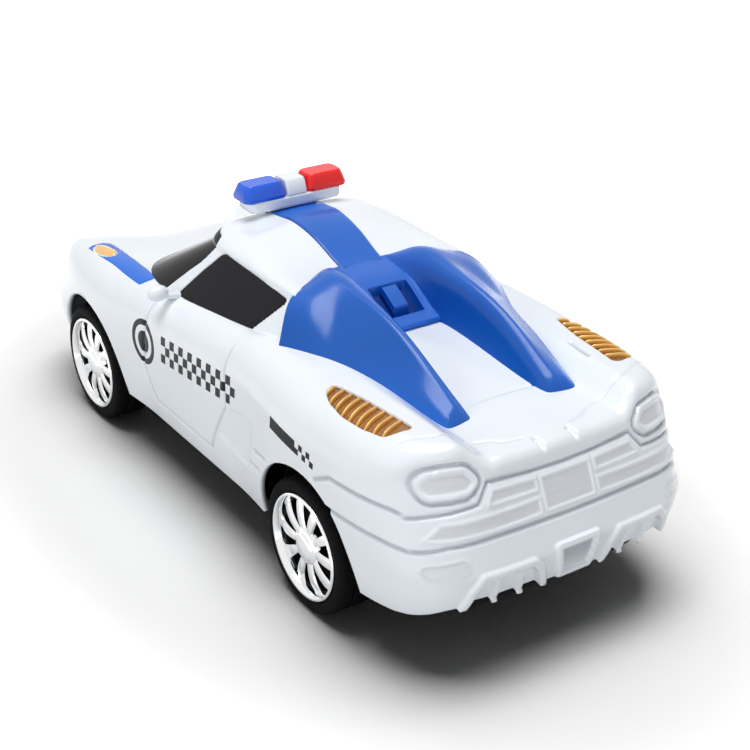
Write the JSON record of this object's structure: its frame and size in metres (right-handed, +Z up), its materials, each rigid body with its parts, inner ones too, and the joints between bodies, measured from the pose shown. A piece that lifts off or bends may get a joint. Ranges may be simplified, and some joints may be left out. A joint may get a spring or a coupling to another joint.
{
  "type": "toy car",
  "caption": "Toy patrol car with a hollow moulded body, blue buttressed engine cover, roof light bar, spoked wheels on two axles and a geared friction flywheel drive.",
  "frame": {"origin": "on the ground under the middle of the body", "axes": "+X forward along the car, +Y to the car's left, +Z up"},
  "size_m": [0.2316, 0.0984, 0.0872],
  "materials": {
    "body_white": "glossy",
    "cover_blue": "glossy",
    "pane_black": "glossy",
    "lamp_amber": "glossy",
    "lens_blue": "glossy",
    "lens_red": "glossy",
    "chassis_black": "satin",
    "rim_chrome": "polished",
    "tyre_black": "matte",
    "steel": "satin",
    "gear_plastic": "satin"
  },
  "bodies": {
    "car": {"body_shell": "body_white", "engine_cover": "cover_blue", "windscreen": "pane_black", "side_window_left": "pane_black", "side_window_right": "pane_black", "fender_trim_left": "cover_blue", "fender_trim_right": "cover_blue", "headlamp_left": "lamp_amber", "headlamp_right": "lamp_amber", "vent_grille_left": "lamp_amber", "vent_grille_right": "lamp_amber", "lightbar_base": "body_white", "lightbar_lens_blue": "lens_blue", "lightbar_lens_red": "lens_red", "chassis": "chassis_black", "body_screws": "steel", "idler_pin": "steel", "motor_case_left": "chassis_black", "motor_case_right": "chassis_black"},
    "front_wheels": {"front_axle": "steel", "rim_front_left": "rim_chrome", "rim_front_right": "rim_chrome", "tyre_front_left": "tyre_black", "tyre_front_right": "tyre_black"},
    "rear_wheels": {"rear_axle": "steel", "axle_gear": "gear_plastic", "rim_rear_left": "rim_chrome", "rim_rear_right": "rim_chrome", "tyre_rear_left": "tyre_black", "tyre_rear_right": "tyre_black"},
    "idler": {"idler_gear": "gear_plastic"},
    "flywheel_set": {"flywheel_pinion": "steel", "flywheel": "steel"}
  },
  "joints": [
    {"name": "front_axle_spin", "type": "hinge", "parent": "car", "child": "front_wheels", "pos_m": [0.066, 0, 0.0188], "axis": [0, 1, 0], "continuous": true},
    {"name": "rear_axle_spin", "type": "hinge", "parent": "car", "child": "rear_wheels", "pos_m": [-0.064, 0, 0.0188], "axis": [0, 1, 0], "continuous": true},
    {"name": "idler_spin", "type": "hinge", "parent": "car", "child": "idler", "pos_m": [-0.05581, 0, 0.02454], "axis": [0, 1, 0], "continuous": true},
    {"name": "flywheel_spin", "type": "hinge", "parent": "car", "child": "flywheel_set", "pos_m": [-0.04596, 0, 0.02627], "axis": [0, 1, 0], "continuous": true}
  ],
  "couplings": [
    {"joint": "idler_spin", "follows": "rear_axle_spin", "ratio": -3},
    {"joint": "flywheel_spin", "follows": "rear_axle_spin", "ratio": 9}
  ]
}
